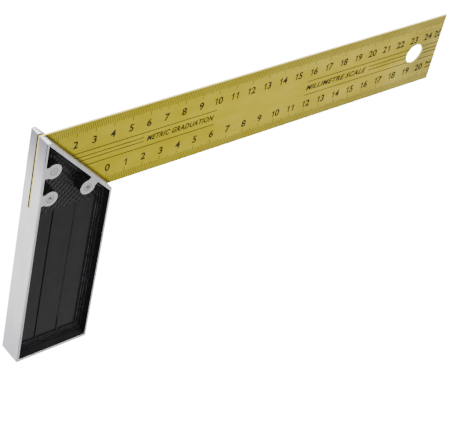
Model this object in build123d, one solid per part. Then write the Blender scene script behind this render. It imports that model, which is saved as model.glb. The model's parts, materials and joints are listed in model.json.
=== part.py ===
from build123d import *
import os

# Metric try square with a die-cast aluminium stock and a graduated steel blade.
# All sizes are in millimetres. The origin is the inside corner of the right angle, where the blade's
# lower edge leaves the stock's inner face, in the middle of the blade's thickness.
# +X runs along the blade away from the stock, +Z runs up the stock towards the blade, -Y is the front.

# Stock: the thick arm that is held against the work.
STOCK_WIDTH = 40.0
STOCK_LENGTH = 131.0
STOCK_THICKNESS = 13.0
TIP_FLAT = 2.4
TIP_RADIUS = 3.0
OUTER_EDGE_CHAMFER = 0.35
EDGE_CHAMFER = 0.35

# Blade: one flat strip let into the stock along its whole width.
BLADE_LENGTH = 250.0
BLADE_WIDTH = 40.0
BLADE_THICKNESS = 1.0
BLADE_CORNER_RADIUS = 0.5
HANG_HOLE_RADIUS = 5.5
HANG_HOLE_FROM_END = 16.8

# Slot for the blade: wider than the blade, so that a gap is left behind it.
SLOT_GAP = 0.45

# Recess: a stepped hollow in the front and in the back of the stock, inside a narrow rim.
OUTER_RIM = 1.2
INNER_RIM = 1.25
END_RIM = 1.5
MITRE_RIM = 1.6
RECESS_DEPTH = 5.0

# Each wall of the stepped border goes from its top to its foot. A level is its depth below the rim
# face, then how far it lies inside the side rims, the end rim and the mitre rim.
BORDER_WALLS = (
    ((0.0, 0.0, 0.0, 0.0), (2.9, 0.4, 1.7, 1.1)),
    ((2.9, 1.2, 3.0, 1.3), (3.7, 1.4, 3.3, 1.9)),
    ((3.7, 2.3, 3.9, 2.1), (RECESS_DEPTH, 2.9, 4.6, 2.7)),
)

# Two raised beads along the floor of each recess, below the lugs.
BEAD_WIDTH = 1.4
BEAD_HEIGHT = 0.5
BEAD_SIDE_ANGLE = 35.0
BEAD_PLACES = (-27.4, -15.2)
BEAD_TOP = -4.0
BEAD_END_GAP = 7.0

# Lugs: round pads level with the rim face, each joined to the rim by a neck, that carry the rivets.
LUG_RADIUS = 3.9
NECK_WIDTH = 5.8
NECK_FILLET = 0.5
NECK_ROOT = 1.0
RIVET_RADIUS = 2.0
RIVET_CHAMFER = 0.2

# A neck runs to the outer rim or to the mitre rim, in these directions in degrees.
OUTER_NECK = 180.0
MITRE_NECK = 45.0

# Rivet name: lug centre across and up from the origin, and the direction of its neck.
LUGS = {
    "rivet_upper": (-34.4, 23.6, OUTER_NECK),
    "rivet_lower": (-34.4, 8.3, OUTER_NECK),
    "rivet_inner": (-14.4, 8.0, MITRE_NECK),
}

STOCK_LEFT = -STOCK_WIDTH
STOCK_TOP = BLADE_WIDTH
STOCK_BOTTOM = STOCK_TOP - STOCK_LENGTH
MITRE_SUM = STOCK_LEFT + TIP_FLAT + STOCK_TOP
HALF_THICKNESS = STOCK_THICKNESS / 2


def face_plane(depth):
    """Plane parallel to the stock's front face, this far below it."""
    return Plane.XZ.offset(HALF_THICKNESS - depth)


def stock_blank():
    """Solid stock: a rectangle with its inner top corner cut off at 45 degrees and a rounded tip."""
    outline = Polyline(
        (STOCK_LEFT, STOCK_TOP),
        (STOCK_LEFT + TIP_FLAT, STOCK_TOP),
        (0, MITRE_SUM),
        (0, STOCK_BOTTOM),
        (STOCK_LEFT, STOCK_BOTTOM),
        close=True,
    )
    tip = outline.vertices().filter_by_position(Axis.X, STOCK_LEFT + TIP_FLAT, STOCK_LEFT + TIP_FLAT)
    outline = fillet(tip, TIP_RADIUS)
    blank = extrude(face_plane(0) * make_face(outline), -STOCK_THICKNESS)
    outer_edges = blank.edges().filter_by(Axis.Z).sort_by(Axis.X)[:2]
    blank = chamfer(outer_edges, OUTER_EDGE_CHAMFER)
    end_edges = blank.edges().filter_by_position(Axis.Z, STOCK_BOTTOM, STOCK_BOTTOM)
    inner_edges = blank.edges().filter_by(Axis.Z).filter_by_position(Axis.X, 0, 0)
    return chamfer(end_edges + inner_edges, EDGE_CHAMFER)


def recess_level(level):
    """Outline of one recess border at one level, as a face at its depth."""
    depth, side, end, mitre = level
    left = STOCK_LEFT + OUTER_RIM + side
    right = -INNER_RIM - side
    bottom = STOCK_BOTTOM + END_RIM + end
    slope = MITRE_SUM - (MITRE_RIM + mitre) * 2**0.5
    outline = Polyline(
        (left, slope - left),
        (left, bottom),
        (right, bottom),
        (right, slope - right),
        close=True,
    )
    return face_plane(depth) * make_face(outline)


def rim_distance(across, up, neck_angle):
    """How far the rim's inner edge lies from a lug centre, along its neck."""
    if neck_angle == OUTER_NECK:
        return across - STOCK_LEFT - OUTER_RIM
    return (MITRE_SUM - across - up) / 2**0.5 - MITRE_RIM


def lug(across, up, neck_angle):
    """One rivet pad with a neck that widens where it joins the rim, from the floor to the rim face."""
    reach = rim_distance(across, up, neck_angle)
    neck = Rectangle(reach + NECK_ROOT, NECK_WIDTH, align=(Align.MIN, Align.CENTER))
    root = Rectangle(NECK_ROOT, NECK_WIDTH + 3 * NECK_FILLET, align=(Align.MIN, Align.CENTER))
    outline = Circle(LUG_RADIUS) + neck + Pos(reach, 0) * root
    joints = outline.vertices().filter_by_position(Axis.X, reach, reach)
    joints = joints.filter_by_position(Axis.Y, -NECK_WIDTH / 2, NECK_WIDTH / 2)
    outline = fillet(joints, NECK_FILLET)
    outline = Pos(across, up) * Rot(0, 0, neck_angle) * outline
    return extrude(face_plane(0) * outline, -RECESS_DEPTH)


def bead(across):
    """One raised bead with sloping sides that stands on the recess floor."""
    length = BEAD_TOP - STOCK_BOTTOM - BEAD_END_GAP
    strip = Pos(across, BEAD_TOP) * Rectangle(BEAD_WIDTH, length, align=(Align.CENTER, Align.MAX))
    return extrude(face_plane(RECESS_DEPTH) * strip, BEAD_HEIGHT, taper=BEAD_SIDE_ANGLE)


def front_recess(blank):
    """Cut the stepped hollow into the front face, then add its beads and lugs."""
    for top, foot in BORDER_WALLS:
        blank -= loft([recess_level(top), recess_level(foot)])
    for across in BEAD_PLACES:
        blank += bead(across)
    for place in LUGS.values():
        blank += lug(*place)
    return blank


def rivet_hole(across, up, length):
    """Cylinder through the square at one rivet."""
    return Pos(across, 0, up) * Rot(90, 0, 0) * Cylinder(RIVET_RADIUS, length)


def make_stock():
    """Stock with a recess on both faces, the blade slot and the rivet holes."""
    stock = front_recess(stock_blank())
    stock = mirror(front_recess(mirror(stock, Plane.XZ)), Plane.XZ)
    slot_width = BLADE_THICKNESS + SLOT_GAP
    slot = Box(STOCK_WIDTH, slot_width, BLADE_WIDTH, align=(Align.MAX, Align.MIN, Align.MIN))
    stock -= Pos(0, -BLADE_THICKNESS / 2, 0) * slot
    for across, up, _ in LUGS.values():
        stock -= rivet_hole(across, up, STOCK_THICKNESS)
    return stock


def make_blade():
    """Flat strip with a hang hole near its free end and holes for the rivets."""
    far_end = BLADE_LENGTH - STOCK_WIDTH
    blade = Pos(STOCK_LEFT, 0, 0) * Box(
        BLADE_LENGTH, BLADE_THICKNESS, BLADE_WIDTH, align=(Align.MIN, Align.CENTER, Align.MIN)
    )
    corners = blade.edges().filter_by(Axis.Y).filter_by_position(Axis.X, far_end, far_end)
    blade = fillet(corners, BLADE_CORNER_RADIUS)
    hole = Rot(90, 0, 0) * Cylinder(HANG_HOLE_RADIUS, BLADE_THICKNESS)
    blade -= Pos(far_end - HANG_HOLE_FROM_END, 0, BLADE_WIDTH / 2) * hole
    for across, up, _ in LUGS.values():
        blade -= rivet_hole(across, up, BLADE_THICKNESS)
    return blade


def make_rivet(across, up):
    """Plain rivet, hammered and ground level with the lug on both faces."""
    shank = rivet_hole(across, up, STOCK_THICKNESS)
    return chamfer(shank.edges().filter_by(GeomType.CIRCLE), RIVET_CHAMFER)


os.makedirs("parts", exist_ok=True)
export_step(make_stock(), "parts/stock.step")
export_step(make_blade(), "parts/blade.step")
for name, (across, up, _) in LUGS.items():
    export_step(make_rivet(across, up), f"parts/{name}.step")
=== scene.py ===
import json
import math
import bmesh
import bpy
import numpy as np
from mathutils import Matrix, Vector


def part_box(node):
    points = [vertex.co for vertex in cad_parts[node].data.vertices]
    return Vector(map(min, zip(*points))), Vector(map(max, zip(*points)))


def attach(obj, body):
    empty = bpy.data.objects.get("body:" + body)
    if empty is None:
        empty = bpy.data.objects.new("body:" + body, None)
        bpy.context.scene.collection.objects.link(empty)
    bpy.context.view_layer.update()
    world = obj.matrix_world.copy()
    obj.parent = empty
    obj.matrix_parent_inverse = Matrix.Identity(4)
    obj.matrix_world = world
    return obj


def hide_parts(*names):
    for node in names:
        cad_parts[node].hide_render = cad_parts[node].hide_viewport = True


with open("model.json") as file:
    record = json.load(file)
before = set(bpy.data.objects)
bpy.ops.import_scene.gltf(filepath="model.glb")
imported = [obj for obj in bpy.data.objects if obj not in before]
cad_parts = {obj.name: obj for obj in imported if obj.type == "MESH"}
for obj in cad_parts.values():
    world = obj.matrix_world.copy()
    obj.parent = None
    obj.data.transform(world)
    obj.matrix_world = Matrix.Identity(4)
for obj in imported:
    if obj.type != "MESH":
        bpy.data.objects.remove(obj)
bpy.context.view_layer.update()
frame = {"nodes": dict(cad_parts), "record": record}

# Metric try square: a die-cast aluminium stock, a lacquered steel blade with printed scales, and three
# rivets. Lengths are in metres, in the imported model's frame: +X along the blade, +Z up, -Y the front.
MM = 0.001
CENTIMETRE = 10 * MM
MERGE_DISTANCE = 1e-7
STOCK_LOW, STOCK_HIGH = (np.array(corner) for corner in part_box("stock"))
BLADE_LOW, BLADE_HIGH = (np.array(corner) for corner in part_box("blade"))
RIVET_BOXES = {name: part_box(name) for name in ("rivet_upper", "rivet_lower", "rivet_inner")}
MOUNTS = {mount["name"]: mount for mount in frame["record"]["mounts"]}
FRONT, BACK = -1, 1

# Stock: the line of its mitre is where across plus up is this sum, and its recesses have these rims.
TIP_FLAT = 2.4 * MM
MITRE_SUM = STOCK_LOW[0] + TIP_FLAT + STOCK_HIGH[2]
OUTER_RIM = 1.2 * MM
INNER_RIM = 1.25 * MM
END_RIM = 1.5 * MM
MITRE_RIM = 1.6 * MM
RECESS_DEPTH = 5.0 * MM
FLOOR_SIDE_INSET = 2.9 * MM
FLOOR_END_INSET = 4.6 * MM
FLOOR_MITRE_INSET = 2.7 * MM
# Its flat faces are joined up below the first angle, and its edges are rounded above the second one.
EDGE_ROUNDING = 0.18 * MM
WELD_DISTANCE = 0.001 * MM
FLAT_BELOW_ANGLE = 0.6
ROUNDED_ABOVE_ANGLE = 23

# Rivets: the width of each one's punch dent as a share of the rivet's, and the dent's depth.
RIVET_DENTS = {
    "rivet_upper": (0.55, 0.10 * MM),
    "rivet_lower": (0.48, 0.60 * MM),
    "rivet_inner": (0.62, 0.22 * MM),
}
# A dent's profile as shares of its width and depth, then the rivet's rounded edge as shares of its
# radius with depths below the lug.
DENT_PROFILE = ((0.0, 1.0), (0.55, 0.85), (0.9, 0.2), (1.1, 0.0))
RIVET_EDGE = ((0.82, 0.04 * MM), (0.93, 0.16 * MM), (1.0, 0.32 * MM))
RIVET_SIDES = 64

# Knurling: diamond-shaped dimples between crossed ridges, over the upper part of each recess floor.
KNURL_BOTTOM = -4.0 * MM
KNURL_PITCH = 3.3 * MM
KNURL_HEIGHT = 0.24 * MM
KNURL_SHARPNESS = 1.6
KNURL_LIFT = 0.01 * MM
KNURL_BORDER_SUNK = 0.1 * MM
KNURL_POINTS = 230
KNURL_SMOOTH_ANGLE = 60.0

# Blade: the full coat of lacquer stops at a narrow border left by shearing. Its edges are rounded over
# a width, with a middle point at a share of it. Two rings line the hole at a share of half its depth.
SHEARED_BORDER = 0.10 * MM
DEBURRED_EDGE = 0.12 * MM
DEBURR_SHARE = 0.3
BLADE_RAYS = 288
HOLE_RING_SHARE = 0.45

# Scales: ticks one millimetre apart, numbered every centimetre, read from both long edges.
PRINT_THICKNESS = 0.03 * MM
TICK_WIDTH = 0.22 * MM
TICK_START = 0.45 * MM
TICK_LENGTHS = {"millimetre": 4.6 * MM, "half": 5.4 * MM, "centimetre": 6.8 * MM}
NUMERAL_HEIGHT = 4.0 * MM
LAST_NUMERAL_HEIGHT = 3.6 * MM
NUMERAL_FROM_EDGE = 10.9 * MM
LOWER_NUMERAL_FROM_EDGE = 9.9 * MM
NUMERAL_WEIGHT = 0.145 * MM
DIGIT_STEP = 2.8 * MM
LAST_NUMERAL_FROM_END = 3.0 * MM
# Outline of the figure 1, one unit high.
ONE_OUTLINE = (
    (0.02, -0.5), (0.19, -0.5), (0.19, 0.5), (0.09, 0.5),
    (0.0, 0.38), (-0.18, 0.28), (-0.18, 0.13), (0.02, 0.23),
)

# Lines and lettering along the middle of the blade: heights up the blade, and starts and ends along it.
RULE_WIDTH = 0.42 * MM
OUTER_RULES = (23.7 * MM, 15.5 * MM)
INNER_RULES = (21.0 * MM, 18.8 * MM)
RULE_START = STOCK_LOW[0] + 1.0 * MM
RULE_OVERRUN = 1.0 * MM
RULE_GAP = 1.8 * MM
FIRST_LETTERING = ("METRIC GRADUATION", 20.3 * MM, 59.3 * MM)
SECOND_LETTERING = ("MILLIMETRE SCALE", 117.6 * MM, 158.2 * MM)
LETTERING_BELOW_MIDDLE = 0.2 * MM
LETTER_HEIGHT = 3.0 * MM
LETTER_WEIGHT = 0.13 * MM
LETTER_SPACING = 1.1
ITALIC_SLANT = 0.25
CAPITAL_SHARE = 0.73

# The stock's outer face is greyer towards the tip and towards the end. Each pair says where a tone begins
# and where it is complete.
OUTER_FACE_FADE = (STOCK_LOW[0] + 0.05 * MM, STOCK_LOW[0] + 0.5 * MM)
TIP_GREYER = (6.0 * MM, STOCK_HIGH[2] + 4.0 * MM)
END_GREYER = (-40.0 * MM, STOCK_LOW[2])
TIP_GREYER_SHARE = 0.95
END_GREYER_SHARE = 0.48
LUG_TONE_WIDTH = 1.6 * MM
LUG_TONE_SHARE = 0.9
# Paint: its border lies a little below the ground rim face, wanders, and fades in over a short distance.
PAINT_BELOW_RIM = 0.26 * MM
PAINT_WANDER = 0.16 * MM
PAINT_FADE = (-0.12 * MM, -0.02 * MM)
PAINT_SPECULAR = 0.14
# Painted highlights along the recess's step edges: the depths where each line starts and ends, and its
# strength.
STEP_HIGHLIGHTS = (
    (4.66 * MM, 4.975 * MM, 0.50),
    (3.74 * MM, 3.93 * MM, 0.40),
    (2.94 * MM, 3.10 * MM, 0.35),
)
STEP_HIGHLIGHT_SOFT_START = 0.04 * MM
STEP_HIGHLIGHT_SOFT_END = 0.015 * MM
# The lines lie on the border and fade out where the floor begins. Those along the sides also fade out
# above the end, and those along the end are weaker. Noise breaks them up, leaving at least a share of them
# everywhere.
STEP_HIGHLIGHT_FADE = 0.1 * MM
STEP_HIGHLIGHT_SIDES_FADE_OUT = 4.4 * MM
STEP_HIGHLIGHT_END_SHARE = 0.48
HIGHLIGHT_BREAK_LEVELS = (0.42, 0.58)
HIGHLIGHT_LEAST = 0.35
# Painted shade in the blade's slot, round the rivets and along the mitre, and a brown tone along the blade's
# edges.
SLOT_FRONT_FADE = (BLADE_LOW[1] - 0.06 * MM, BLADE_LOW[1] - 0.01 * MM)
SLOT_BACK_FADE = (BLADE_HIGH[1] + 0.80 * MM, BLADE_HIGH[1] + 0.88 * MM)
SLOT_FOOT_FADE = (BLADE_LOW[2] - 0.1 * MM, BLADE_LOW[2])
RIVET_SHADE_DEPTH = 0.22 * MM
MITRE_SHADOW_WIDTH = 1.9 * MM
EDGE_TONE_WIDTH = 0.7 * MM
# Lacquer: its yellow turns duller and greyer between these places along the blade.
LACQUER_TONE_SHIFT = (40 * MM, 200 * MM)

# Pattern sizes: one figure for an even pattern, and three along X, Y and Z for a drawn-out one.
GRINDING_STREAK = (0.8 * MM, 0.8 * MM, 18 * MM)
GRINDING_CLOUD = (16 * MM, 16 * MM, 45 * MM)
LACQUER_MOTTLE = (22 * MM, 22 * MM, 9 * MM)
ROLLING_STREAK = (30 * MM, 1 * MM, 0.5 * MM)
SHEARING_MARK = (3 * MM, 0.25 * MM, 0.25 * MM)
RAGGED_BORDER = 1.1 * MM
HIGHLIGHT_BREAK_PATCH = 3 * MM
STOCK_PEEL = 0.9 * MM
STOCK_DUST = 7 * MM
KNURL_PEEL = 0.6 * MM
KNURL_DUST = 5 * MM
INK_PATCH = 2.2 * MM
PAPER_TOOTH = 4 * MM
FINE_BUMP = 0.02 * MM
ROLLING_BUMP = 0.01 * MM

# Camera, floor and lights.
CAMERA_AIM = Vector((92.95, 0.0, -55.48)) * MM
CAMERA_DISTANCE = 778.1 * MM
CAMERA_AZIMUTH = -47.69
CAMERA_ELEVATION = 38.65
CAMERA_ROLL = 14.17
CAMERA_LENS = 115.47
CAMERA_SENSOR = 36.0
CAMERA_CLIP_START = 0.01
FLOOR_SIZE = 6.0
FLOOR_GLOW = 16.0
KEY_LIGHT_PLACE = (-0.5, -0.9, 1.1)
KEY_LIGHT_AIM = (0.05, 0, 0)
KEY_LIGHT_SIZE = 0.9
KEY_LIGHT_POWER = 4
ROOM_LIGHT = 1.4
HORIZON_LIGHT = 0.5
HORIZON_BAND = (0.10, 0.50)
# Zones of the room: the direction of each one's middle, its light as a share of the room's, and the
# cosine of the angle from its middle where it begins. It is complete at one cosine for all zones.
ROOM_ZONES = {
    "dark_low_front_left": ((-0.52, -0.58, -0.63), 0.35, 0.60),
    "bright_low_back_left": ((-0.577, 0.522, -0.629), 1.9, 0.30),
    "dim_low_front_right": ((0.577, -0.522, -0.629), 0.72, 0.55),
    "bright_high_back_right": ((0.577, 0.52, 0.63), 3.5, 0.80),
    "bright_right": ((0.85, -0.40, -0.33), 2.0, 0.88),
    "dark_overhead": ((0.46, -0.33, 0.82), 0.35, 0.86),
    "window_low_left": ((-0.746, -0.02, -0.665), 12.0, 0.97),
    "window_high_front_right": ((0.49, -0.57, 0.66), 9.0, 0.97),
}
ZONE_COMPLETE = 0.99


# ---------------------------------------------------------------- meshes


def grid_faces(rows, columns, wrap_rows=False, wrap_columns=False):
    """Quads between neighbours on a rows by columns grid, closed round either way if asked."""
    row = np.arange(rows if wrap_rows else rows - 1)
    column = np.arange(columns if wrap_columns else columns - 1)
    row, column = np.meshgrid(row, column, indexing="ij")
    next_row = (row + 1) % rows
    next_column = (column + 1) % columns
    corners = (
        row * columns + column,
        row * columns + next_column,
        next_row * columns + next_column,
        next_row * columns + column,
    )
    return np.stack(corners, -1).reshape(-1, 4)


def make_piece(name, vertices, faces, materials, replaced=(), face_material=None, smooth_angle=30.0):
    """A mesh piece of the square, merged, with its faces turned outwards, riding on the one body."""
    mesh = bpy.data.meshes.new(name)
    mesh.from_pydata(np.asarray(vertices, float).tolist(), [], [list(face) for face in faces])
    for material in materials:
        mesh.materials.append(material)
    if face_material is not None:
        mesh.polygons.foreach_set("material_index", np.asarray(face_material, np.int32))
    work = bmesh.new()
    work.from_mesh(mesh)
    bmesh.ops.remove_doubles(work, verts=work.verts, dist=MERGE_DISTANCE)
    bmesh.ops.recalc_face_normals(work, faces=work.faces)
    work.to_mesh(mesh)
    work.free()
    mesh.polygons.foreach_set("use_smooth", np.ones(len(mesh.polygons), bool))
    mesh.set_sharp_from_angle(angle=math.radians(smooth_angle))
    piece = bpy.data.objects.new(name, mesh)
    bpy.context.scene.collection.objects.link(piece)
    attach(piece, "root")
    if replaced:
        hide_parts(*replaced)
    return piece


def ray_directions(low, high):
    """Directions from the hang hole's centre: evenly spaced, and one through each corner of the blade."""
    corner_x, corner_z = np.meshgrid([low[0], high[0]], [low[1], high[1]])
    corner_angles = np.arctan2(corner_z, corner_x).ravel()
    even_angles = np.linspace(-math.pi, math.pi, BLADE_RAYS, endpoint=False)
    angles = np.sort(np.concatenate([even_angles, corner_angles]))
    return np.stack([np.cos(angles), np.sin(angles)], -1)


def rectangle_ring(ray, low, high):
    """The point where each ray from the origin leaves the rectangle between two corners."""
    safe = np.where(np.abs(ray) < 1e-9, 1e-9, ray)
    reach = np.where(safe > 0, high / safe, low / safe).min(1)
    return ray * reach[:, None]


def blade_strip(materials):
    """The blade: a closed profile carried round the strip and its hole.
    Along the grid's columns the ray turns once round the hang hole. Each row is a ring: a circle of the
    hole's radius plus an inset, or the blade's rectangle less an inset. The rows go out over the front
    face, round the edge, back over the rear face and through the hole."""
    centre = np.array(MOUNTS["hang_hole"]["pos_m"])
    hole_radius = MOUNTS["hang_hole"]["dims"]["r_mm"] * MM
    low = np.array([BLADE_LOW[0], BLADE_LOW[2]]) - centre[[0, 2]]
    high = np.array([BLADE_HIGH[0], BLADE_HIGH[2]]) - centre[[0, 2]]
    half = BLADE_HIGH[1]
    ray = ray_directions(low, high)
    cut = DEBURR_SHARE * DEBURRED_EDGE
    rounded = [(DEBURRED_EDGE, half), (cut, half - cut), (0.0, half - DEBURRED_EDGE)]
    outer = [(SHEARED_BORDER + DEBURRED_EDGE, half)] + rounded
    outer = [(inset, -across) for inset, across in outer] + outer[::-1]
    hole = rounded + [(0.0, HOLE_RING_SHARE * half)]
    hole = hole + [(inset, -across) for inset, across in hole[::-1]]
    outer_rings = [(rectangle_ring(ray, low + inset, high - inset), across) for inset, across in outer]
    hole_rings = [(ray * (hole_radius + inset), across) for inset, across in hole]
    rings = [hole_rings[-1], *outer_rings, *hole_rings[:-1]]
    rows = [np.stack([ring[:, 0], np.full(len(ring), across), ring[:, 1]], -1) for ring, across in rings]
    points = np.stack(rows) + centre
    points[..., 0] = np.clip(points[..., 0], BLADE_LOW[0], BLADE_HIGH[0])
    faces = grid_faces(len(rows), len(ray), True, True)
    lacquered_rows = (0, len(outer))
    face_material = np.repeat([0 if row in lacquered_rows else 1 for row in range(len(rows))], len(ray))
    return make_piece(
        "blade_strip", points.reshape(-1, 3), faces, materials, ("blade",), face_material
    )


def rivet(name, box, dent_width, dent_depth, material):
    """A rivet: a profile of radius against depth turned about the Y axis, the same at both ends.
    Its ends are level with the lug, with a rounded edge and a round dent left by the punch. The dent's
    width is a share of the rivet's."""
    low, high = np.array(box[0]), np.array(box[1])
    centre = (low + high) / 2
    radius = (high[0] - low[0]) / 2
    half = (high[1] - low[1]) / 2
    end = [(share * dent_width * radius, half - depth * dent_depth) for share, depth in DENT_PROFILE]
    end += [(share * radius, half - depth) for share, depth in RIVET_EDGE]
    profile = np.array([(r, -y) for r, y in end] + [(r, y) for r, y in reversed(end)])
    angles = np.linspace(0, 2 * math.pi, RIVET_SIDES, endpoint=False)
    radii = profile[:, :1]
    x = centre[0] + radii * np.cos(angles)
    z = centre[2] + radii * np.sin(angles)
    y = centre[1] + profile[:, 1:] + 0 * x
    points = np.stack([x, y, z], -1)
    faces = grid_faces(len(profile), len(angles), wrap_columns=True)
    return make_piece(name + "_ground", points.reshape(-1, 3), faces, [material], (name,))


def knurled_floor(name, side, material):
    """Knurling on one recess floor: height over a four-sided patch, with two crossed sets of ridges.
    The patch runs from its bottom line up to the mitre. A dimple's depth is the product of two sine
    humps, one across each diagonal. The border is sunk into the floor, so that the slab closes."""
    left = STOCK_LOW[0] + OUTER_RIM + FLOOR_SIDE_INSET
    right = STOCK_HIGH[0] - INNER_RIM - FLOOR_SIDE_INSET
    slope = MITRE_SUM - (MITRE_RIM + FLOOR_MITRE_INSET) * math.sqrt(2)
    floor = side * (STOCK_HIGH[1] - RECESS_DEPTH)
    share = np.linspace(0, 1, KNURL_POINTS)
    across, up = np.meshgrid(share, share)
    x = left + across * (right - left)
    z = KNURL_BOTTOM + up * (slope - x - KNURL_BOTTOM)
    rising = np.abs(np.sin(math.pi * (x - z) / KNURL_PITCH))
    falling = np.abs(np.sin(math.pi * (x + z) / KNURL_PITCH))
    height = KNURL_HEIGHT * (1 - (falling * rising) ** KNURL_SHARPNESS)
    border = np.zeros(x.shape, bool)
    border[[0, -1], :] = True
    border[:, [0, -1]] = True
    height = np.where(border, -KNURL_BORDER_SUNK, height + KNURL_LIFT)
    points = np.stack([x, floor + side * height, z], -1)
    rows, columns = x.shape
    faces = [tuple(face) for face in grid_faces(rows, columns)]
    index = np.arange(rows * columns).reshape(rows, columns)
    rim = np.concatenate([index[0, :], index[1:, -1], index[-1, -2::-1], index[-2:0:-1, 0]])
    faces.append(tuple(rim[::-1]))
    return make_piece(
        name, points.reshape(-1, 3), faces, [material], smooth_angle=KNURL_SMOOTH_ANGLE
    )


def bars(x_low, x_high, z_low, z_high, side):
    """Thin printed bars as boxes: every combination of low and high in each direction, half sunk."""
    face = side * BLADE_HIGH[1]
    corners = np.array([(i, j, k) for i in (0, 1) for j in (0, 1) for k in (0, 1)])
    x = np.where(corners[:, 0], x_high[:, None], x_low[:, None])
    z = np.where(corners[:, 2], z_high[:, None], z_low[:, None])
    y = face + (corners[:, 1] * 2 - 1) * PRINT_THICKNESS / 2 + 0 * x
    points = np.stack([x, y, z], -1).reshape(-1, 3)
    box = np.array([(0, 1, 3, 2), (4, 6, 7, 5), (0, 4, 5, 1), (2, 3, 7, 6), (0, 2, 6, 4), (1, 5, 7, 3)])
    faces = (np.arange(len(x_low))[:, None, None] * 8 + box).reshape(-1, 4)
    return points, faces


def scale_ticks(name, side, edge, zero, material):
    """One scale's ticks: a bar each millimetre from zero to the free end, longer at 5 mm and 10 mm."""
    count = int(round((BLADE_HIGH[0] - zero) / MM))
    marks = np.arange(0 if zero > BLADE_LOW[0] else 1, count)
    length = np.select(
        [marks % 10 == 0, marks % 5 == 0],
        [TICK_LENGTHS["centimetre"], TICK_LENGTHS["half"]],
        TICK_LENGTHS["millimetre"],
    )
    x = zero + marks * MM
    inward = -1 if edge == BLADE_HIGH[2] else 1
    ends = np.stack([edge + inward * TICK_START + 0 * length, edge + inward * length])
    points, faces = bars(x - TICK_WIDTH / 2, x + TICK_WIDTH / 2, ends.min(0), ends.max(0), side)
    return make_piece(name, points, faces, [material])


def rule_spans():
    """The lines as (start, end, height), from the stock to the first words and from the second on."""
    end = BLADE_HIGH[0]
    _, first_start, first_end = FIRST_LETTERING
    _, second_start, second_end = SECOND_LETTERING
    spans = []
    for height in OUTER_RULES:
        spans += [(RULE_START, first_end + RULE_OVERRUN, height), (second_start, end, height)]
    for height in INNER_RULES:
        spans += [(RULE_START, first_start - RULE_GAP, height), (second_end + RULE_GAP, end, height)]
    return spans


def rules(name, side, material):
    """The straight lines beside the lettering, each cut in two where it meets the hang hole."""
    hole_x, _, hole_z = MOUNTS["hang_hole"]["pos_m"]
    clear = MOUNTS["hang_hole"]["dims"]["r_mm"] * MM + DEBURRED_EDGE
    cut = []
    for x_low, x_high, height in rule_spans():
        half_chord = math.sqrt(max(clear**2 - (height - hole_z) ** 2, 0))
        if half_chord and x_low < hole_x < x_high:
            cut.append((x_low, hole_x - half_chord, height))
            cut.append((hole_x + half_chord, x_high - SHEARED_BORDER, height))
        else:
            cut.append((x_low, x_high, height))
    x_low, x_high, height = np.array(cut).T
    points, faces = bars(x_low, x_high, height - RULE_WIDTH / 2, height + RULE_WIDTH / 2, side)
    return make_piece(name, points, faces, [material])


def text_shape(words, height, slant=0.0, weight=0.0, spacing=1.0):
    """Words as a thin closed solid centred on the origin, as points and faces. Capitals have the height."""
    curve = bpy.data.curves.new("print", "FONT")
    curve.body = words
    curve.size = height / CAPITAL_SHARE
    curve.shear = slant
    curve.space_character = spacing
    curve.offset = weight
    curve.extrude = PRINT_THICKNESS / 2
    curve.resolution_u = 4
    holder = bpy.data.objects.new("print", curve)
    mesh = bpy.data.meshes.new_from_object(holder)
    points = np.empty(len(mesh.vertices) * 3)
    mesh.vertices.foreach_get("co", points)
    points = points.reshape(-1, 3)
    faces = [tuple(polygon.vertices) for polygon in mesh.polygons]
    points[:, :2] -= (points[:, :2].min(0) + points[:, :2].max(0)) / 2
    bpy.data.objects.remove(holder)
    bpy.data.meshes.remove(mesh)
    bpy.data.curves.remove(curve)
    return points, faces


def printed(name, entries, side, material):
    """Several texts on one face of the blade as one piece. An entry is a text shape, its place along the
    blade with an offset to the reader's right, its height, its turn in degrees, and its length or None."""
    all_points, all_faces, used = [], [], 0
    for (points, faces), across, up, turn, length in entries:
        points = points.copy()
        if length:
            points[:, 0] *= length / np.ptp(points[:, 0])
        stand = Matrix.Rotation(math.pi / 2, 3, "X") @ Matrix.Rotation(math.radians(turn), 3, "Z")
        if side == BACK:
            stand = Matrix.Rotation(math.pi, 3, "Z") @ stand
        place, sideways = across
        placed = points @ np.array(stand).T + np.array([place - side * sideways, side * BLADE_HIGH[1], up])
        all_points.append(placed)
        all_faces += [tuple(np.array(face) + used) for face in faces]
        used += len(points)
    return make_piece(name, np.concatenate(all_points), all_faces, [material])


def figure_one(height):
    """The figure 1 as a thin closed solid: an upright stroke with a sloping flag, centred on the origin."""
    outline = np.array(ONE_OUTLINE) * height
    count = len(outline)
    layers = [np.column_stack([outline, np.full(count, level * PRINT_THICKNESS)]) for level in (-0.5, 0.5)]
    faces = [tuple(range(count))[::-1], tuple(range(count, 2 * count))]
    faces += [tuple(face) for face in grid_faces(2, count, wrap_columns=True)]
    return np.concatenate(layers), faces


def number_entries(number, height, across, up, turn):
    """A number's figures as entries for printing: a step apart, centred on one place."""
    figures = str(number)
    entries = []
    for index, figure in enumerate(figures):
        shape = figure_one(height) if figure == "1" else text_shape(figure, height, weight=NUMERAL_WEIGHT)
        offset = (index - (len(figures) - 1) / 2) * DIGIT_STEP * height / NUMERAL_HEIGHT
        sideways = offset * math.cos(math.radians(turn))
        entries.append((shape, (across, sideways), up + offset * math.sin(math.radians(turn)), turn, None))
    return entries


def numerals(name, side, line, zero, last, material):
    """Centimetre numbers along one edge: upright beside their ticks, and the last one turned on its side."""
    entries = []
    for number in range(1 if zero < 0 else 0, last):
        entries += number_entries(number, NUMERAL_HEIGHT, zero + number * CENTIMETRE, line, 0)
    last_place = BLADE_HIGH[0] - LAST_NUMERAL_FROM_END
    entries += number_entries(last, LAST_NUMERAL_HEIGHT, last_place, line, -90)
    return printed(name, entries, side, material)


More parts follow.
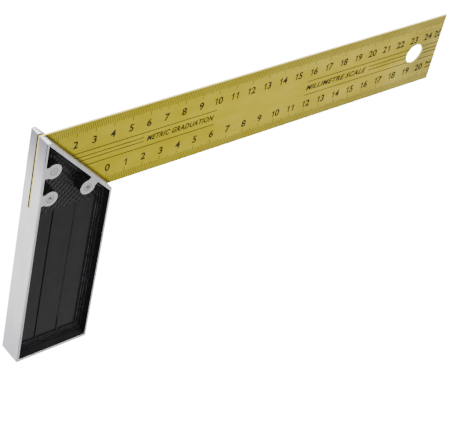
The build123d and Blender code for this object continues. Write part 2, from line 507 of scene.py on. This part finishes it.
def lettering(name, side, material):
    """The generic words between the rules, one near the stock and one towards the free end."""
    up = (BLADE_LOW[2] + BLADE_HIGH[2]) / 2 - LETTERING_BELOW_MIDDLE
    entries = []
    for words, start, end in (FIRST_LETTERING, SECOND_LETTERING):
        shape = text_shape(words, LETTER_HEIGHT, ITALIC_SLANT, LETTER_WEIGHT, LETTER_SPACING)
        entries.append((shape, ((start + end) / 2, 0), up, 0, end - start))
    return printed(name, entries, side, material)



# ---------------------------------------------------------------- materials

# Settings of the nodes used most, named for what they do.
SMOOTH = {"interpolation_type": "SMOOTHSTEP"}
COLOURS = {"data_type": "RGBA"}
NUMBERS = {"data_type": "FLOAT"}
TIMES = {"operation": "MULTIPLY"}
PLUS = {"operation": "ADD"}
MINUS = {"operation": "SUBTRACT"}
LEAST = {"operation": "MINIMUM"}
MOST = {"operation": "MAXIMUM"}
SIZE = {"operation": "ABSOLUTE"}
DOT = {"operation": "DOT_PRODUCT"}

# Tones as (position, sRGB hex colour) along a pattern.
ALUMINIUM_TONES = ((0.3, "#BCBCC1"), (0.5, "#D0D0D4"), (0.7, "#E0DFE2"))
PAINT_TONES = ((0.3, "#1A1A1C"), (0.6, "#1E1E20"), (0.8, "#252527"))
NEAR_LACQUER_TONES = ((0.3, "#BAAB2E"), (0.5, "#C5B638"), (0.7, "#D0C342"))
FAR_LACQUER_TONES = ((0.3, "#B0A152"), (0.5, "#C2B360"), (0.7, "#D0C46C"))
EDGE_TONES = ((0.3, "#C4B65C"), (0.5, "#D2C468"), (0.7, "#DED27C"))
INK_TONES = ((0.3, "#1C1706"), (0.55, "#28210A"), (0.8, "#3C3210"))
PAPER_TONES = ((0.3, "#F4F4F4"), (0.7, "#F7F7F7"))


def colour(code):
    """An sRGB hex colour as linear red, green, blue and alpha."""
    channels = [int(code[i : i + 2], 16) / 255 for i in (1, 3, 5)]
    linear = [c / 12.92 if c <= 0.04045 else ((c + 0.055) / 1.055) ** 2.4 for c in channels]
    return (*linear, 1.0)


def connect(tree, node, **inputs):
    """Gives each input of a node a value or a link. An input goes by its name, or by i and its number."""
    for key, value in inputs.items():
        numbered = key[0] == "i" and key[1:].isdigit()
        socket = node.inputs[int(key[1:]) if numbered else key.replace("_", " ")]
        if isinstance(value, bpy.types.NodeSocket):
            tree.links.new(value, socket)
        else:
            socket.default_value = value


def add(tree, kind, settings=None, tones=(), **inputs):
    """Adds one node, with its own settings, the tones of its ramp if it has one, and its inputs."""
    node = tree.nodes.new("ShaderNode" + kind)
    for key, value in (settings or {}).items():
        setattr(node, key, value)
    for position, _ in tones[1:-1]:
        node.color_ramp.elements.new(position)
    for index, (position, code) in enumerate(tones):
        node.color_ramp.elements[index].position = position
        node.color_ramp.elements[index].color = colour(code)
    connect(tree, node, **inputs)
    return node


def new_material(name):
    """A new node material: its tree, its Principled shader and the Object coordinates of its piece."""
    made = bpy.data.materials.new(name)
    made.use_nodes = True
    tree = made.node_tree
    shader = tree.nodes["Principled BSDF"]
    place = add(tree, "TexCoord").outputs["Object"]
    return made, tree, shader, place


def per_metre(sizes):
    """How many times a pattern of these sizes repeats in a metre, along each axis."""
    return tuple(1 / size for size in sizes)


def distance_inside_rims(tree, place):
    """How far a point lies inside the recess's outline: the least distance from its four lines."""
    diagonal = math.sqrt(0.5)
    lines = (
        ((1, 0, 0), STOCK_LOW[0] + OUTER_RIM),
        ((-1, 0, 0), -(STOCK_HIGH[0] - INNER_RIM)),
        ((0, 0, 1), STOCK_LOW[2] + END_RIM),
        ((-diagonal, 0, -diagonal), MITRE_RIM - MITRE_SUM * diagonal),
    )
    distances = []
    for normal, offset in lines:
        along = add(tree, "VectorMath", DOT, i0=place, i1=normal).outputs["Value"]
        distances.append(add(tree, "Math", MINUS, i0=along, i1=offset).outputs[0])
    inside = distances[0]
    for distance in distances[1:]:
        inside = add(tree, "Math", LEAST, i0=inside, i1=distance).outputs[0]
    return inside


def painted_recess(tree, place, height, inside):
    """1 where the recess is painted: inside the rims and below the ground face, with a ragged border.
    Height is the distance from the blade's plane."""
    ragged = add(tree, "TexNoise", Vector=place, Scale=1 / RAGGED_BORDER, Detail=3.0).outputs["Fac"]
    centred = add(tree, "Math", MINUS, i0=ragged, i1=0.5).outputs[0]
    wander = add(tree, "Math", TIMES, i0=centred, i1=PAINT_WANDER).outputs[0]
    depth = add(tree, "Math", MINUS, i0=STOCK_HIGH[1] - PAINT_BELOW_RIM, i1=height).outputs[0]
    least = add(tree, "Math", LEAST, i0=depth, i1=inside).outputs[0]
    shifted = add(tree, "Math", PLUS, i0=least, i1=wander).outputs[0]
    return add(
        tree, "MapRange", Value=shifted, From_Min=PAINT_FADE[0], From_Max=PAINT_FADE[1]
    ).outputs["Result"]


def dirty_slot(tree, axes):
    """1 on the walls of the blade's slot and on its lip behind the blade: painted shade, black in the narrow
    gap.
    """
    front = add(
        tree, "MapRange", SMOOTH, Value=axes["Y"],
        From_Min=SLOT_FRONT_FADE[0], From_Max=SLOT_FRONT_FADE[1],
    ).outputs["Result"]
    behind = add(
        tree, "MapRange", SMOOTH, Value=axes["Y"],
        From_Min=SLOT_BACK_FADE[0], From_Max=SLOT_BACK_FADE[1], To_Min=1.0, To_Max=0.0,
    ).outputs["Result"]
    above = add(
        tree, "MapRange", SMOOTH, Value=axes["Z"],
        From_Min=SLOT_FOOT_FADE[0], From_Max=SLOT_FOOT_FADE[1],
    ).outputs["Result"]
    between = add(tree, "Math", TIMES, i0=front, i1=behind).outputs[0]
    return add(tree, "Math", TIMES, i0=above, i1=between).outputs[0]


def ground_aluminium(tree, place):
    """Ground die-cast aluminium: pale grey metal with fine streaks along the stock, softly matt.
    Returns its colour, roughness and bump height. The streaks are drawn about four times too wide,
    because real grinding marks are too fine to show."""
    drawn_out = add(tree, "Mapping", Vector=place, Scale=per_metre(GRINDING_STREAK)).outputs["Vector"]
    streaks = add(tree, "TexNoise", Vector=drawn_out, Scale=1.0, Detail=4.0).outputs["Fac"]
    broad = add(tree, "Mapping", Vector=place, Scale=per_metre(GRINDING_CLOUD)).outputs["Vector"]
    clouds = add(tree, "TexNoise", Vector=broad, Scale=1.0, Detail=3.0).outputs["Fac"]
    mixed = add(tree, "Mix", NUMBERS, i0=0.6, i2=streaks, i3=clouds).outputs[0]
    tint = add(tree, "ValToRGB", tones=ALUMINIUM_TONES, Fac=mixed).outputs["Color"]
    rough = add(tree, "MapRange", Value=mixed, To_Min=0.50, To_Max=0.34).outputs["Result"]
    return tint, rough, streaks


def dulled_outer_face(tree, axes, tint):
    """The bright metal's colour, greyer on the outer face towards the tip and towards the end."""
    outer = add(
        tree, "MapRange", SMOOTH, Value=axes["X"],
        From_Min=OUTER_FACE_FADE[0], From_Max=OUTER_FACE_FADE[1], To_Min=1.0, To_Max=0.0,
    ).outputs["Result"]
    tip = add(
        tree, "MapRange", SMOOTH, Value=axes["Z"],
        From_Min=TIP_GREYER[0], From_Max=TIP_GREYER[1], To_Max=TIP_GREYER_SHARE,
    ).outputs["Result"]
    end = add(
        tree, "MapRange", Value=axes["Z"],
        From_Min=END_GREYER[0], From_Max=END_GREYER[1], To_Max=END_GREYER_SHARE,
    ).outputs["Result"]
    both = add(tree, "Math", MOST, i0=tip, i1=end).outputs[0]
    share = add(tree, "Math", TIMES, i0=outer, i1=both).outputs[0]
    return add(tree, "Mix", COLOURS, i0=share, i6=tint, i7=colour("#6E6E78")).outputs[2]


def worn_share(tree, place, axes, inside):
    """How much of the painted highlight lines shows: all of them along the recess's sides, fading out
    towards its end, a share of them along the end, and none on the floor. Noise breaks them up unevenly."""
    end_foot = STOCK_LOW[2] + END_RIM + FLOOR_END_INSET
    side = add(
        tree, "MapRange", SMOOTH, Value=inside,
        From_Min=FLOOR_SIDE_INSET, From_Max=FLOOR_SIDE_INSET + STEP_HIGHLIGHT_FADE, To_Min=1.0, To_Max=0.0,
    ).outputs["Result"]
    end = add(
        tree, "MapRange", SMOOTH, Value=axes["Z"],
        From_Min=end_foot + STEP_HIGHLIGHT_FADE, From_Max=end_foot + 2 * STEP_HIGHLIGHT_FADE, To_Min=STEP_HIGHLIGHT_END_SHARE, To_Max=0.0,
    ).outputs["Result"]
    fade_out = add(
        tree, "MapRange", SMOOTH, Value=axes["Z"],
        From_Min=STOCK_LOW[2] + STEP_HIGHLIGHT_SIDES_FADE_OUT, From_Max=end_foot + STEP_HIGHLIGHT_FADE,
    ).outputs["Result"]
    side = add(tree, "Math", TIMES, i0=side, i1=fade_out).outputs[0]
    near = add(tree, "Math", MOST, i0=side, i1=end).outputs[0]
    highlight_breaks = add(tree, "TexNoise", Vector=place, Scale=1 / HIGHLIGHT_BREAK_PATCH, Detail=2.0).outputs["Fac"]
    uneven = add(
        tree, "MapRange", SMOOTH, Value=highlight_breaks,
        From_Min=HIGHLIGHT_BREAK_LEVELS[0], From_Max=HIGHLIGHT_BREAK_LEVELS[1], To_Min=HIGHLIGHT_LEAST,
    ).outputs["Result"]
    return add(tree, "Math", TIMES, i0=near, i1=uneven).outputs[0]


def worn_step_edges(tree, place, axes, height, inside):
    """Painted highlights: thin pale lines along the recess's steps, where their gloss would catch the light.
    """
    depth = add(tree, "Math", MINUS, i0=STOCK_HIGH[1], i1=height).outputs[0]
    lines = 0.0
    for start, end, strength in STEP_HIGHLIGHTS:
        below = add(
            tree, "MapRange", SMOOTH, Value=depth,
            From_Min=start - STEP_HIGHLIGHT_SOFT_START, From_Max=start, To_Max=strength,
        ).outputs["Result"]
        above = add(
            tree, "MapRange", SMOOTH, Value=depth,
            From_Min=end, From_Max=end + STEP_HIGHLIGHT_SOFT_END, To_Min=1.0, To_Max=0.0,
        ).outputs["Result"]
        line = add(tree, "Math", TIMES, i0=below, i1=above).outputs[0]
        lines = add(tree, "Math", MOST, i0=line, i1=lines).outputs[0]
    share = worn_share(tree, place, axes, inside)
    return add(tree, "Math", TIMES, i0=lines, i1=share).outputs[0]


def stock_finish():
    """Die-cast aluminium stock: ground bright on its rims, lugs and outer faces, and semi-gloss black
    stoved paint inside, with a faint orange peel. The lugs are warmer and more even than the rims. The
    paint stops raggedly at the rim, with painted highlights along the steps, and painted shade blackens the
    blade's slot."""
    made, tree, shader, place = new_material("die_cast_aluminium_with_black_stoved_paint")
    axes = add(tree, "SeparateXYZ", Vector=place).outputs
    height = add(tree, "Math", SIZE, i0=axes["Y"]).outputs[0]
    inside = distance_inside_rims(tree, place)
    painted = painted_recess(tree, place, height, inside)
    # Painted shade: the blade's slot takes the black paint colour, standing in for the shadow in the narrow
    # gap.
    painted = add(tree, "Math", MOST, i0=painted, i1=dirty_slot(tree, axes)).outputs[0]

    tint, bright_rough, streaks = ground_aluminium(tree, place)
    tint = dulled_outer_face(tree, axes, tint)
    lug = add(
        tree, "MapRange", Value=inside, From_Max=LUG_TONE_WIDTH, To_Max=LUG_TONE_SHARE
    ).outputs["Result"]
    tint = add(tree, "Mix", COLOURS, i0=lug, i6=tint, i7=colour("#D2D0CE")).outputs[2]

    peel = add(tree, "TexNoise", Vector=place, Scale=1 / STOCK_PEEL, Detail=2.0).outputs["Fac"]
    dust = add(tree, "TexNoise", Vector=place, Scale=1 / STOCK_DUST, Detail=5.0).outputs["Fac"]
    black = add(tree, "ValToRGB", tones=PAINT_TONES, Fac=dust).outputs["Color"]
    # Painted highlights: the black is mixed towards pale grey in thin lines along the steps' edges.
    step_highlights = worn_step_edges(tree, place, axes, height, inside)
    black = add(tree, "Mix", COLOURS, i0=step_highlights, i6=black, i7=colour("#78787A")).outputs[2]
    paint_rough = add(tree, "MapRange", Value=dust, To_Min=0.05, To_Max=0.13).outputs["Result"]

    base = add(tree, "Mix", COLOURS, i0=painted, i6=tint, i7=black).outputs[2]
    rough = add(tree, "Mix", NUMBERS, i0=painted, i2=bright_rough, i3=paint_rough).outputs[0]
    metal = add(tree, "Math", MINUS, i0=1.0, i1=painted).outputs[0]
    relief = add(tree, "Mix", NUMBERS, i0=painted, i2=streaks, i3=peel).outputs[0]
    bump = add(tree, "Bump", Height=relief, Strength=0.35, Distance=FINE_BUMP).outputs["Normal"]
    connect(tree, shader, Base_Color=base, Roughness=rough, Metallic=metal, Normal=bump)
    connect(tree, shader, Specular_IOR_Level=PAINT_SPECULAR)
    return made


def black_paint():
    """Black stoved paint over cast knurling: semi-gloss, so the ridges catch a soft light."""
    made, tree, shader, place = new_material("black_stoved_paint")
    dust = add(tree, "TexNoise", Vector=place, Scale=1 / KNURL_DUST, Detail=5.0).outputs["Fac"]
    peel = add(tree, "TexNoise", Vector=place, Scale=1 / KNURL_PEEL, Detail=2.0).outputs["Fac"]
    base = add(tree, "ValToRGB", tones=PAINT_TONES, Fac=dust).outputs["Color"]
    rough = add(tree, "MapRange", Value=dust, To_Min=0.10, To_Max=0.20).outputs["Result"]
    bump = add(tree, "Bump", Height=peel, Strength=0.35, Distance=FINE_BUMP).outputs["Normal"]
    connect(tree, shader, Base_Color=base, Roughness=rough, Normal=bump, Specular_IOR_Level=PAINT_SPECULAR)
    return made


def rivet_finish():
    """Aluminium rivet, hammered and ground level: a little duller than the stock, with painted shade round
    its rounded edge and in its dent."""
    made, tree, shader, place = new_material("ground_aluminium_rivet")
    axes = add(tree, "SeparateXYZ", Vector=place).outputs
    height = add(tree, "Math", SIZE, i0=axes["Y"]).outputs[0]
    tint, rough, streaks = ground_aluminium(tree, place)
    tint = add(tree, "Mix", COLOURS, i0=0.1, i6=tint, i7=colour("#A4A4A2")).outputs[2]
    # Painted shade: the rivet darkens the deeper its surface lies below the lug, in its dent and round its
    # edge.
    painted_shade = add(
        tree, "MapRange", Value=height,
        From_Min=STOCK_HIGH[1] - RIVET_SHADE_DEPTH, From_Max=STOCK_HIGH[1], To_Min=0.8, To_Max=0.0,
    ).outputs["Result"]
    tint = add(tree, "Mix", COLOURS, i0=painted_shade, i6=tint, i7=colour("#38363A")).outputs[2]
    bump = add(tree, "Bump", Height=streaks, Strength=0.4, Distance=FINE_BUMP).outputs["Normal"]
    connect(tree, shader, Base_Color=tint, Roughness=rough, Normal=bump, Metallic=1.0)
    return made


def darkened_along_borders(tree, axes, base):
    """The lacquer's colour with a painted shadow in the corner along the stock's mitre, where the stock
    shades the blade, and a thin brownish line where it ends at the strip's edges."""
    across = add(tree, "Math", PLUS, i0=axes["X"], i1=axes["Z"]).outputs[0]
    # Painted shadow: the blade darkens towards the stock's mitre, where the stock shades it.
    painted_shade = add(
        tree, "MapRange", SMOOTH, Value=across,
        From_Min=MITRE_SUM, From_Max=MITRE_SUM + MITRE_SHADOW_WIDTH * math.sqrt(2), To_Min=0.85, To_Max=0.0,
    ).outputs["Result"]
    base = add(tree, "Mix", COLOURS, i0=painted_shade, i6=base, i7=colour("#3C382C")).outputs[2]
    below = add(tree, "Math", MINUS, i0=BLADE_HIGH[2], i1=axes["Z"]).outputs[0]
    before = add(tree, "Math", MINUS, i0=BLADE_HIGH[0], i1=axes["X"]).outputs[0]
    nearest = add(tree, "Math", LEAST, i0=axes["Z"], i1=below).outputs[0]
    nearest = add(tree, "Math", LEAST, i0=nearest, i1=before).outputs[0]
    edge = add(
        tree, "MapRange", SMOOTH, Value=nearest, From_Max=EDGE_TONE_WIDTH, To_Min=0.45, To_Max=0.0
    ).outputs["Result"]
    return add(tree, "Mix", COLOURS, i0=edge, i6=base, i7=colour("#6A6444")).outputs[2]


def blade_lacquer():
    """Yellow lacquer over rolled steel: an even brassy yellow, softly mottled, that turns a duller, greyer
    yellow towards the free end, with faint rolling streaks along the strip and a satin gloss."""
    made, tree, shader, place = new_material("yellow_lacquer_on_rolled_steel")
    patches = add(tree, "Mapping", Vector=place, Scale=per_metre(LACQUER_MOTTLE)).outputs["Vector"]
    mottle = add(tree, "TexNoise", Vector=patches, Scale=1.0, Detail=4.0).outputs["Fac"]
    drawn_out = add(tree, "Mapping", Vector=place, Scale=per_metre(ROLLING_STREAK)).outputs["Vector"]
    rolling = add(tree, "TexNoise", Vector=drawn_out, Scale=1.0, Detail=3.0).outputs["Fac"]
    blend = add(tree, "Mix", NUMBERS, i0=0.15, i2=mottle, i3=rolling).outputs[0]
    near_tone = add(tree, "ValToRGB", tones=NEAR_LACQUER_TONES, Fac=blend).outputs["Color"]
    far_tone = add(tree, "ValToRGB", tones=FAR_LACQUER_TONES, Fac=blend).outputs["Color"]
    axes = add(tree, "SeparateXYZ", Vector=place).outputs
    towards_free_end = add(
        tree, "MapRange", Value=axes["X"], From_Min=LACQUER_TONE_SHIFT[0], From_Max=LACQUER_TONE_SHIFT[1]
    ).outputs["Result"]
    base = add(tree, "Mix", COLOURS, i0=towards_free_end, i6=near_tone, i7=far_tone).outputs[2]
    base = darkened_along_borders(tree, axes, base)
    rough = add(tree, "MapRange", Value=blend, To_Min=0.36, To_Max=0.52).outputs["Result"]
    bump = add(tree, "Bump", Height=rolling, Strength=0.25, Distance=ROLLING_BUMP).outputs["Normal"]
    connect(tree, shader, Base_Color=base, Roughness=rough, Normal=bump)
    connect(tree, shader, Metallic=1.0, Specular_Tint=colour("#D8CC60"))
    return made


def sheared_edge():
    """Sheared and deburred steel edge under a thin run of lacquer: pale yellow metal with fine marks
    along the strip."""
    made, tree, shader, place = new_material("sheared_steel_edge")
    drawn_out = add(tree, "Mapping", Vector=place, Scale=per_metre(SHEARING_MARK)).outputs["Vector"]
    marks = add(tree, "TexNoise", Vector=drawn_out, Scale=1.0, Detail=4.0).outputs["Fac"]
    base = add(tree, "ValToRGB", tones=EDGE_TONES, Fac=marks).outputs["Color"]
    rough = add(tree, "MapRange", Value=marks, To_Min=0.32, To_Max=0.5).outputs["Result"]
    connect(tree, shader, Base_Color=base, Roughness=rough, Metallic=1.0)
    return made


def printing_ink():
    """Dark olive-brown screen ink, thin and slightly uneven, so that strokes are not all equally dark."""
    made, tree, shader, place = new_material("olive_brown_screen_ink")
    uneven = add(tree, "TexNoise", Vector=place, Scale=1 / INK_PATCH, Detail=4.0).outputs["Fac"]
    base = add(tree, "ValToRGB", tones=INK_TONES, Fac=uneven).outputs["Color"]
    connect(tree, shader, Base_Color=base, Roughness=0.6, Specular_IOR_Level=0.2)
    return made


def studio_paper():
    """Seamless white paper: bright, matt, with the faintest tooth. It glows, so that it stays white."""
    made, tree, shader, place = new_material("white_studio_paper")
    tooth = add(tree, "TexNoise", Vector=place, Scale=1 / PAPER_TOOTH, Detail=2.0).outputs["Fac"]
    base = add(tree, "ValToRGB", tones=PAPER_TONES, Fac=tooth).outputs["Color"]
    connect(tree, shader, Base_Color=base, Roughness=0.9)
    connect(tree, shader, Emission_Color=(1, 1, 1, 1), Emission_Strength=FLOOR_GLOW)
    return made


# ---------------------------------------------------------------- the square


def finish_stock():
    """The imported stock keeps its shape. Its corners are welded and slightly rounded, as a tumbled
    casting's are."""
    stock = frame["nodes"]["stock"]
    stock.data.materials.clear()
    stock.data.materials.append(stock_finish())
    weld = stock.modifiers.new("weld", "WELD")
    weld.merge_threshold = WELD_DISTANCE
    flat = stock.modifiers.new("flat_faces", "DECIMATE")
    flat.decimate_type = "DISSOLVE"
    flat.angle_limit = math.radians(FLAT_BELOW_ANGLE)
    rounding = stock.modifiers.new("rounded_edges", "BEVEL")
    rounding.width = EDGE_ROUNDING
    rounding.segments = 2
    rounding.limit_method = "ANGLE"
    rounding.angle_limit = math.radians(ROUNDED_ABOVE_ANGLE)


def build_square():
    """Every visible piece: the stock, its knurled floors, the rivets, the blade and its print."""
    finish_stock()
    ink = printing_ink()
    paint = black_paint()
    rivet_metal = rivet_finish()
    blade_strip([blade_lacquer(), sheared_edge()])
    for name, box in RIVET_BOXES.items():
        rivet(name, box, *RIVET_DENTS[name], rivet_metal)
    upper_line = BLADE_HIGH[2] - NUMERAL_FROM_EDGE
    lower_line = BLADE_LOW[2] + LOWER_NUMERAL_FROM_EDGE
    upper_last = int(round((BLADE_HIGH[0] - BLADE_LOW[0]) / CENTIMETRE))
    lower_last = int(round(BLADE_HIGH[0] / CENTIMETRE))
    for side, label in ((FRONT, "front"), (BACK, "back")):
        knurled_floor("knurled_floor_" + label, side, paint)
        scale_ticks("upper_ticks_" + label, side, BLADE_HIGH[2], BLADE_LOW[0], ink)
        scale_ticks("lower_ticks_" + label, side, BLADE_LOW[2], 0.0, ink)
        numerals("upper_numerals_" + label, side, upper_line, BLADE_LOW[0], upper_last, ink)
        numerals("lower_numerals_" + label, side, lower_line, 0.0, lower_last, ink)
        rules("rules_" + label, side, ink)
        lettering("lettering_" + label, side, ink)


# ---------------------------------------------------------------- stage


def camera():
    """The camera, round the aim point by azimuth and elevation, then rolled about its own axis."""
    data = bpy.data.cameras.new("camera")
    data.lens = CAMERA_LENS
    data.sensor_width = CAMERA_SENSOR
    data.clip_start = CAMERA_CLIP_START
    eye = bpy.data.objects.new("camera", data)
    bpy.context.scene.collection.objects.link(eye)
    azimuth, elevation = math.radians(CAMERA_AZIMUTH), math.radians(CAMERA_ELEVATION)
    back = Vector(
        (
            math.sin(azimuth) * math.cos(elevation),
            -math.cos(azimuth) * math.cos(elevation),
            math.sin(elevation),
        )
    )
    turn = back.to_track_quat("Z", "Y") @ Matrix.Rotation(math.radians(CAMERA_ROLL), 3, "Z").to_quaternion()
    eye.matrix_world = Matrix.Translation(CAMERA_AIM + back * CAMERA_DISTANCE) @ turn.to_matrix().to_4x4()
    bpy.context.scene.camera = eye


def soft_box(name, place, aim, size, power):
    """A square soft box at a place in metres, facing its aim."""
    data = bpy.data.lights.new(name, "AREA")
    data.shape = "SQUARE"
    data.size = size
    data.energy = power
    lamp = bpy.data.objects.new(name, data)
    bpy.context.scene.collection.objects.link(lamp)
    direction = Vector(aim) - Vector(place)
    lamp.matrix_world = Matrix.Translation(place) @ direction.to_track_quat("-Z", "Y").to_matrix().to_4x4()


def studio_room():
    """A white room, dimmer along the horizon. Each zone makes it brighter or darker round one direction,
    so that the faces and edges of the metal differ in tone."""
    world = bpy.data.worlds.new("studio")
    bpy.context.scene.world = world
    world.use_nodes = True
    tree = world.node_tree
    direction = add(tree, "TexCoord").outputs["Generated"]
    height = add(tree, "SeparateXYZ", Vector=direction).outputs["Z"]
    level = add(tree, "Math", SIZE, i0=height).outputs[0]
    strength = add(
        tree, "MapRange", SMOOTH, Value=level,
        From_Min=HORIZON_BAND[0], From_Max=HORIZON_BAND[1], To_Min=HORIZON_LIGHT, To_Max=ROOM_LIGHT,
    ).outputs["Result"]
    for middle, light, start in ROOM_ZONES.values():
        nearness = add(tree, "VectorMath", DOT, i0=direction, i1=middle).outputs["Value"]
        share = add(
            tree, "MapRange", SMOOTH, Value=nearness,
            From_Min=start, From_Max=ZONE_COMPLETE, To_Min=1.0, To_Max=light,
        ).outputs["Result"]
        strength = add(tree, "Math", TIMES, i0=strength, i1=share).outputs[0]
    connect(tree, tree.nodes["Background"], Color=(1.0, 1.0, 1.0, 1.0), Strength=strength)


def studio():
    """White paper floor, a white room and one soft box. The floor neither lights the square nor shows in
    its metal."""
    bpy.ops.mesh.primitive_plane_add(size=FLOOR_SIZE, location=(0, 0, STOCK_LOW[2]))
    floor = bpy.context.object
    floor.name = "studio_floor"
    floor.data.materials.append(studio_paper())
    floor.visible_diffuse = False
    floor.visible_glossy = False
    studio_room()
    soft_box("key", KEY_LIGHT_PLACE, KEY_LIGHT_AIM, KEY_LIGHT_SIZE, KEY_LIGHT_POWER)


build_square()
camera()
studio()
